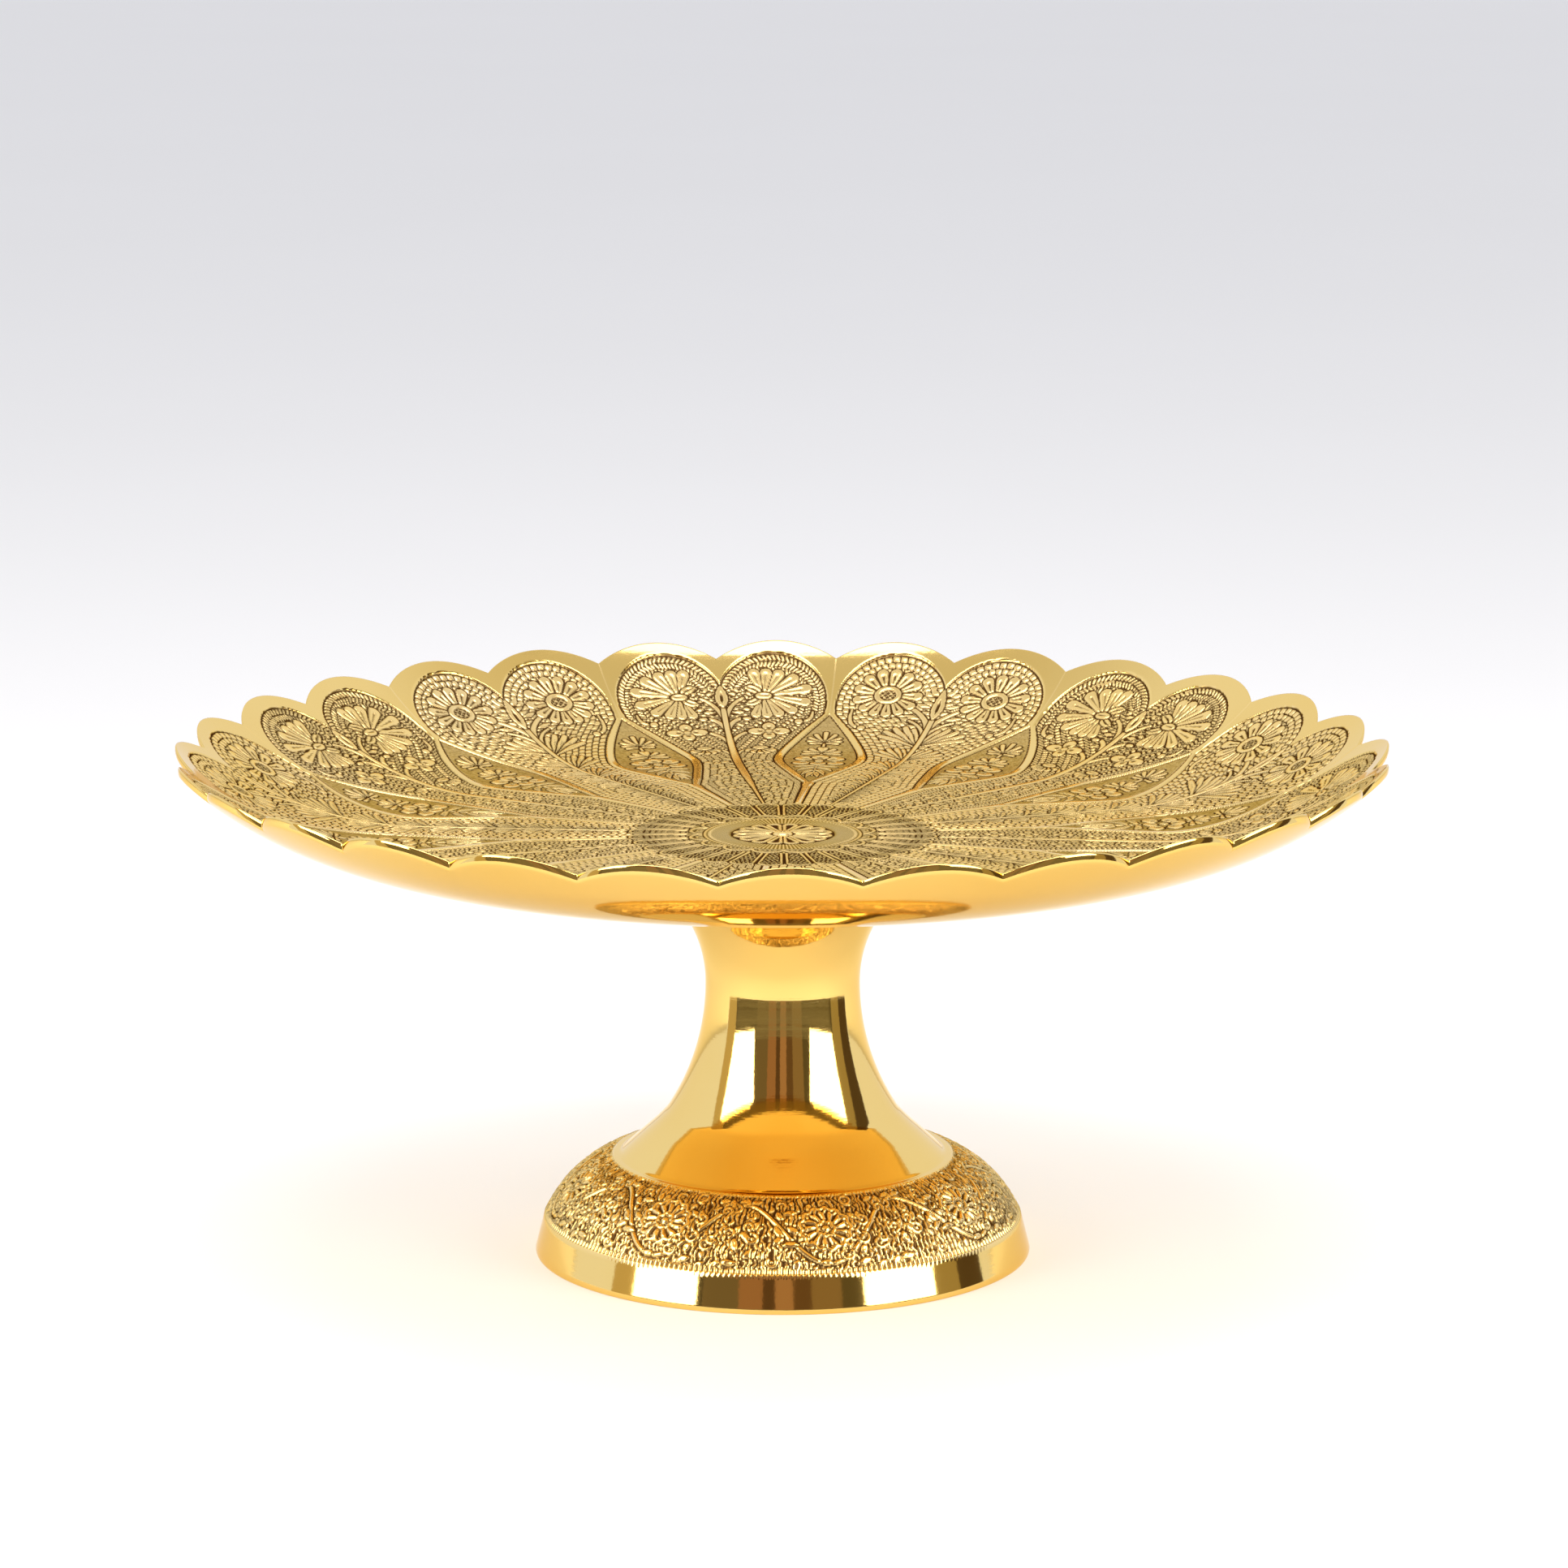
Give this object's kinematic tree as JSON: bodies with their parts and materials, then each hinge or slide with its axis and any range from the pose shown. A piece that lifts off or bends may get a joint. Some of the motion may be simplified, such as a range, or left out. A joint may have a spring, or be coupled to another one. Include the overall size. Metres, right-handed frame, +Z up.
{
  "type": "cake stand",
  "caption": "Round pedestal cake stand in engraved brass: a shallow dish with a scalloped rim, bolted to a hollow turned foot with a flared stem.",
  "frame": {"origin": "centre of the circle on which the foot stands, on the surface under the stand", "axes": "+Z up along the stem's axis; the tip of one scallop points along -Y"},
  "size_m": [0.3, 0.3, 0.1292],
  "materials": {
    "engraved_brass": "engraved, with dark patina in the grooves",
    "polished_brass": "mirror polished, with an engraved band",
    "plain_brass": "turned, left unpolished",
    "zinc_steel": "zinc plated"
  },
  "bodies": {
    "root": {"plate": "engraved_brass", "plate_boss": "plain_brass", "centre_stud": "zinc_steel", "pedestal": "polished_brass", "flat_washer": "zinc_steel", "lock_washer": "zinc_steel", "hex_nut": "zinc_steel"}
  },
  "joints": []
}
